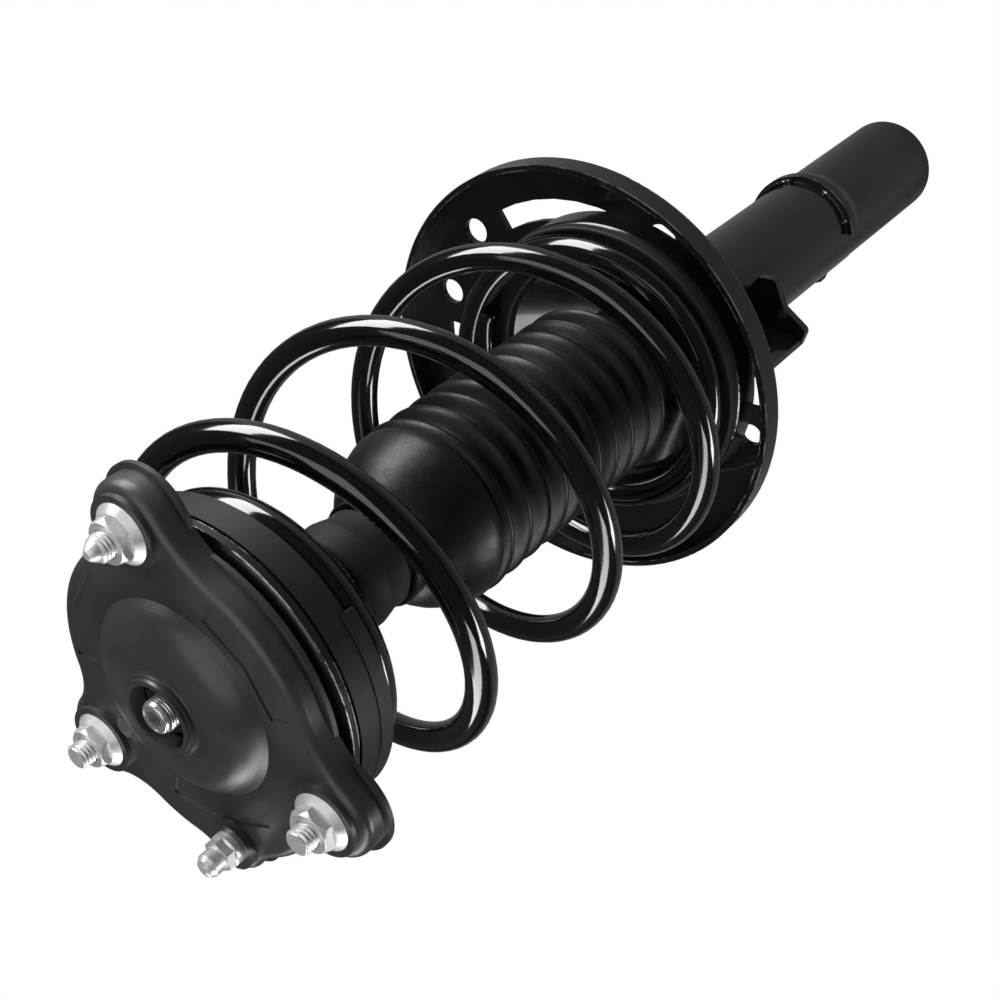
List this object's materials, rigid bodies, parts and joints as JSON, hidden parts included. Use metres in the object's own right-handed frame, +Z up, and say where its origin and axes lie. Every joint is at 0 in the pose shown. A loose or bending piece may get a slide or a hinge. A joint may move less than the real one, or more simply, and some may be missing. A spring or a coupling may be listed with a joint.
{
  "type": "suspension strut",
  "caption": "Complete front suspension strut: clamp-type damper, offset spring seat, coil spring, dust boot, bump stop and bearing top mount with studs.",
  "frame": {"origin": "on the strut axis at the lower end of the damper tube, where the knuckle clamp grips it", "axes": "+Z up the piston rod towards the top mount, +X towards the side to which the lower spring seat is offset"},
  "size_m": [0.2095, 0.204, 0.56],
  "materials": {
    "gloss_black_steel": "gloss black paint",
    "satin_black_steel": "satin black electrocoat",
    "spring_paint": "gloss black powder coat",
    "black_rubber": "matte",
    "boot_rubber": "satin moulded rubber",
    "bump_foam": "matte cellular foam",
    "matte_black_plastic": "matte moulded",
    "bare_steel": "machined",
    "dark_steel": "phosphated",
    "blued_steel": "blue passivated zinc",
    "zinc_plate": "bright zinc plate",
    "chromed_rod": "hard chrome"
  },
  "bodies": {
    "damper": {"damper_tube": "gloss_black_steel", "tube_end_cap": "gloss_black_steel", "locating_ring": "gloss_black_steel", "link_bracket": "gloss_black_steel", "lower_spring_seat": "gloss_black_steel", "lower_spring_pad": "black_rubber", "pressure_cylinder": "bare_steel", "base_valve": "bare_steel", "rod_guide": "bare_steel", "rod_seal": "black_rubber", "tube_cap": "gloss_black_steel", "coil_spring": "spring_paint", "dust_boot": "boot_rubber"},
    "upper_seat": {"upper_spring_seat": "matte_black_plastic", "upper_spring_pad": "black_rubber", "bearing_lower_race": "bare_steel", "bearing_balls": "bare_steel"},
    "top_mount": {"mount_plate": "satin_black_steel", "mount_lower_shell": "gloss_black_steel", "mount_rubber": "black_rubber", "mount_inner_sleeve": "bare_steel", "mount_washer": "bare_steel", "bearing_upper_race": "bare_steel", "rod_nut": "dark_steel", "piston_rod": "chromed_rod", "rebound_stop": "matte_black_plastic", "piston": "bare_steel", "piston_band": "matte_black_plastic", "piston_nut": "bare_steel", "bump_stop": "bump_foam", "bump_stop_cup": "blued_steel", "mount_studs": "zinc_plate", "flange_nuts": "zinc_plate", "locating_pin": "zinc_plate"}
  },
  "joints": [
    {"name": "strut_travel", "type": "slide", "parent": "damper", "child": "upper_seat", "axis": [0, 0, 1], "range_m": [-0.115, 0], "stiffness_N_per_m": 25000, "springref_m": 0.03, "deforming": ["coil_spring", "dust_boot"]},
    {"name": "mount_bearing", "type": "hinge", "parent": "upper_seat", "child": "top_mount", "pos_m": [0, 0, 0.5286], "axis": [0, 0, 1], "continuous": true}
  ]
}
